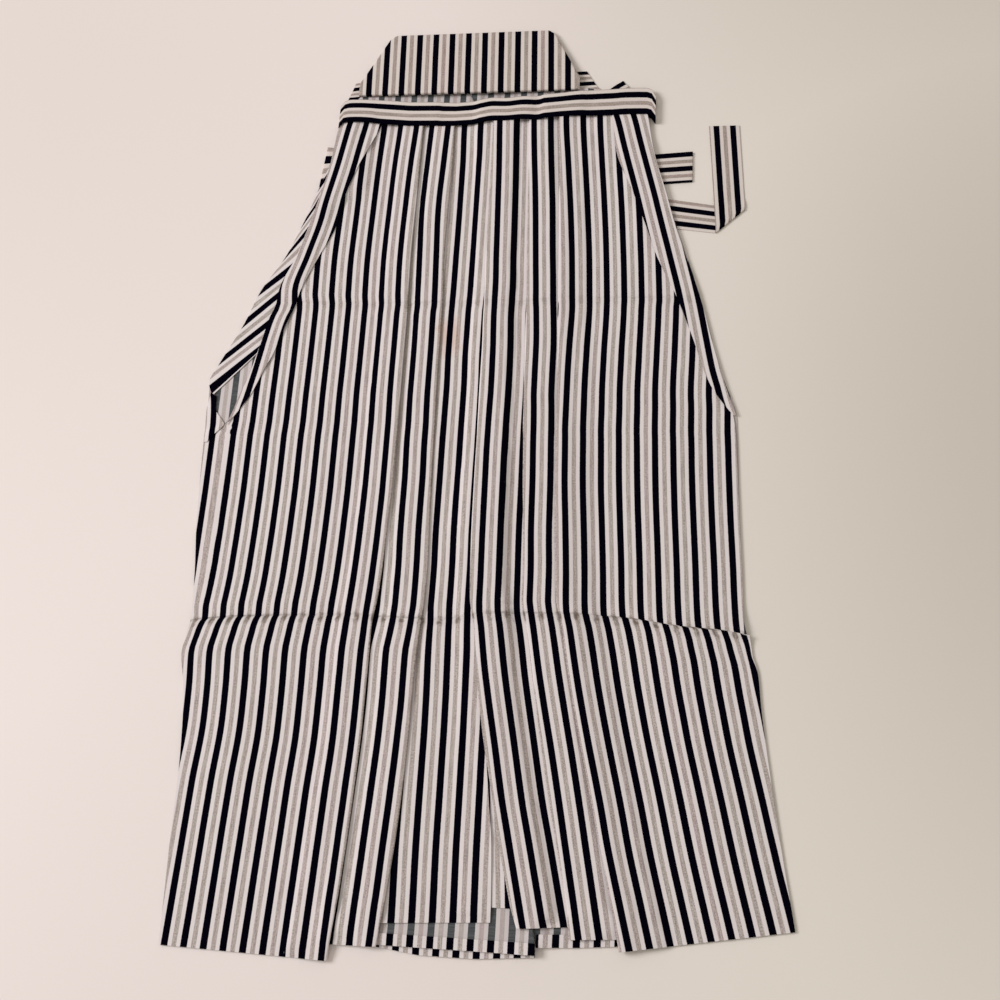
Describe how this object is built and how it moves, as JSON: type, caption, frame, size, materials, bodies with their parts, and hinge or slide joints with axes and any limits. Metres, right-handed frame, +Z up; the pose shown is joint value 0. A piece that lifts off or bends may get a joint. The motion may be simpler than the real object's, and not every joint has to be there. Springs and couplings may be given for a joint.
{
  "type": "hakama trousers",
  "caption": "Divided, pleated hakama trousers in striped cloth, laid flat with the front up: side slits, waist tie, loose tie ends and a stiff back board.",
  "frame": {"origin": "middle of the footprint, on the surface that the garment lies on", "axes": "+Y from the hem to the waist, +X to the wearer's left, +Z up out of the front"},
  "size_m": [0.643, 1.059, 0.0135],
  "materials": {
    "striped_cloth": "matt silk with narrow warp stripes: near-black navy, cream and speckled beige",
    "cloth_reverse": "wrong side of the same cloth, pale grey with dull grey stripes"
  },
  "bodies": {
    "root": {"front_right_panel": "striped_cloth", "front_left_panel": "striped_cloth", "back_right_slit_facing": "striped_cloth", "back_right_hem_turn": "striped_cloth", "back_left_hem_turn": "striped_cloth", "gusset_hem_turn": "striped_cloth", "slit_corner_right": "striped_cloth", "slit_strip_right": "striped_cloth", "slit_strip_left": "striped_cloth", "front_tie_band": "striped_cloth", "front_tie_tail": "striped_cloth", "front_tie_loop": "striped_cloth", "front_tie_bundle": "striped_cloth", "back_tie_right": "striped_cloth", "back_tie_left": "striped_cloth", "back_tie_left_end": "striped_cloth", "back_board": "striped_cloth", "back_right_panel": "cloth_reverse", "back_left_panel": "cloth_reverse", "gusset": "cloth_reverse"}
  },
  "joints": []
}
